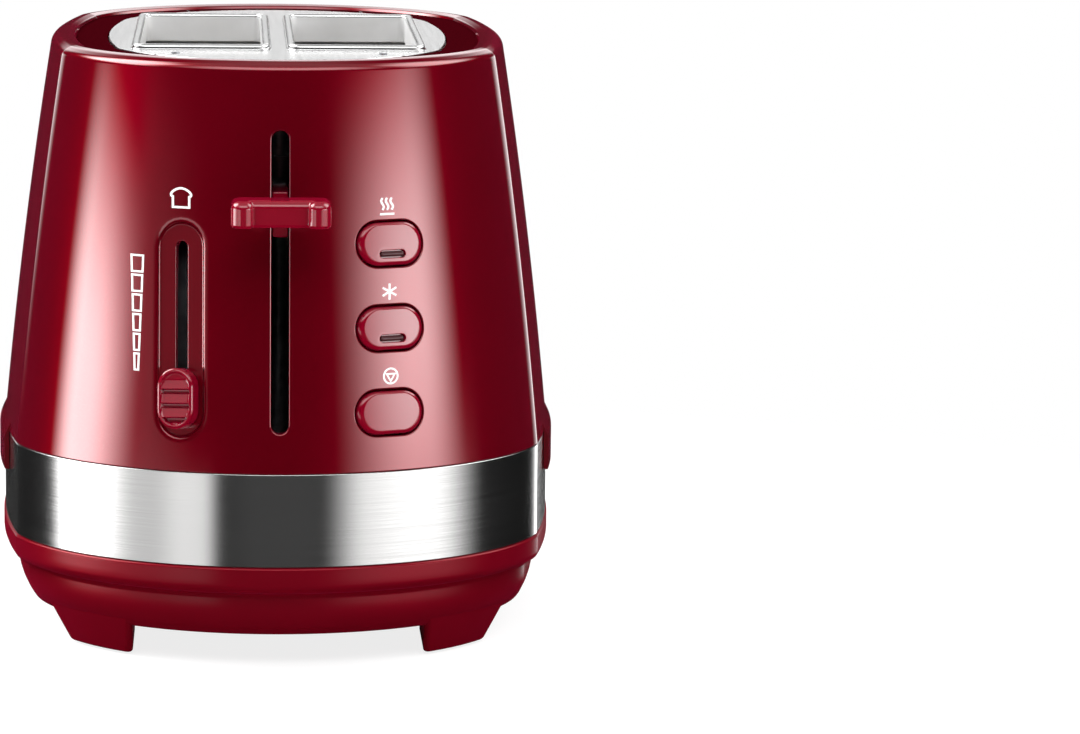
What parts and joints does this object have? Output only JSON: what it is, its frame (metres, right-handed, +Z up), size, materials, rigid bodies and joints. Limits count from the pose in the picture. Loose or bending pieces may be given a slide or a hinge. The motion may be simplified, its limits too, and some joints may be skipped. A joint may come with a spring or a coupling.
{
  "type": "toaster",
  "caption": "Tapered oval pop-up toaster with wide bread slots, steel band, footed base, lift lever, browning slider, push buttons and pull-out crumb tray.",
  "frame": {"origin": "centre of the overall box on the table surface", "axes": "+Z up, -Y towards the user at the lever end, +X to the user's right"},
  "size_m": [0.1844, 0.3096, 0.19],
  "materials": {
    "shell_red": "metallic red lacquer, high gloss",
    "base_red": "red moulding, gloss",
    "control_red": "red moulding, gloss",
    "band_steel": "brushed along the band",
    "plate_steel": "satin",
    "bright_steel": "bright sheet and wire",
    "zinc_steel": "zinc plated",
    "mica": "pressed mica sheet",
    "heating_alloy": "heat-tinted ribbon",
    "copper_winding": "enamelled copper",
    "circuit_board": "solder mask",
    "black_plastic": "fine satin",
    "cream_plastic": "satin",
    "smoked_lens": "smoked, polished",
    "foot_rubber": "matte"
  },
  "bodies": {
    "housing": {"body_shell": "shell_red", "steel_band": "band_steel", "base_housing": "base_red", "foot_pads": "foot_rubber", "top_plate": "plate_steel", "top_plate_rivets": "zinc_steel", "front_chassis_plate": "zinc_steel", "rear_chassis_plate": "zinc_steel", "left_reflector": "bright_steel", "right_reflector": "bright_steel", "left_heater_board": "mica", "centre_heater_board": "mica", "right_heater_board": "mica", "heating_ribbons": "heating_alloy", "left_bread_guards": "bright_steel", "right_bread_guards": "bright_steel", "guide_rod": "bright_steel", "lift_spring": "zinc_steel", "latch_coil": "copper_winding", "latch_core": "zinc_steel", "button_board": "circuit_board", "tact_switches": "black_plastic", "indicator_leds": "cream_plastic", "slider_board": "circuit_board", "slide_potentiometer": "zinc_steel", "board_screws": "zinc_steel", "shell_screws": "zinc_steel", "chassis_screws": "zinc_steel", "terminal_block": "cream_plastic", "cord_gland": "black_plastic"},
    "bread_carriage": {"carriage": "zinc_steel", "lever_knob": "control_red", "left_bread_rack": "bright_steel", "right_bread_rack": "bright_steel", "armature": "zinc_steel"},
    "browning_slider": {"browning_thumb": "control_red", "wiper_tab": "black_plastic"},
    "reheat_key": {"reheat_button": "control_red", "reheat_lens": "smoked_lens"},
    "defrost_key": {"defrost_button": "control_red", "defrost_lens": "smoked_lens"},
    "cancel_key": {"cancel_button": "control_red"},
    "crumb_drawer": {"crumb_tray": "bright_steel", "crumb_tray_handle": "base_red"}
  },
  "joints": [
    {"name": "lever_lift", "type": "slide", "parent": "housing", "child": "bread_carriage", "axis": [0, 0, 1], "range_m": [-0.06, 0.0155], "stiffness_N_per_m": 60, "springref_m": 0.01545, "deforming": ["lift_spring"]},
    {"name": "browning_slide", "type": "slide", "parent": "housing", "child": "browning_slider", "axis": [0, 0.1231, 0.9924], "range_m": [0, 0.044]},
    {"name": "reheat_press", "type": "slide", "parent": "housing", "child": "reheat_key", "axis": [-0.4221, 0.8993, -0.1142], "range_m": [0, 0.0015], "stiffness_N_per_m": 400, "springref_m": -0.001},
    {"name": "defrost_press", "type": "slide", "parent": "housing", "child": "defrost_key", "axis": [-0.4221, 0.8993, -0.1142], "range_m": [0, 0.0015], "stiffness_N_per_m": 400, "springref_m": -0.001},
    {"name": "cancel_press", "type": "slide", "parent": "housing", "child": "cancel_key", "axis": [-0.4221, 0.8993, -0.1142], "range_m": [0, 0.0015], "stiffness_N_per_m": 400, "springref_m": -0.001},
    {"name": "tray_pull", "type": "slide", "parent": "housing", "child": "crumb_drawer", "axis": [0, 1, 0], "range_m": [0, 0.19]}
  ]
}
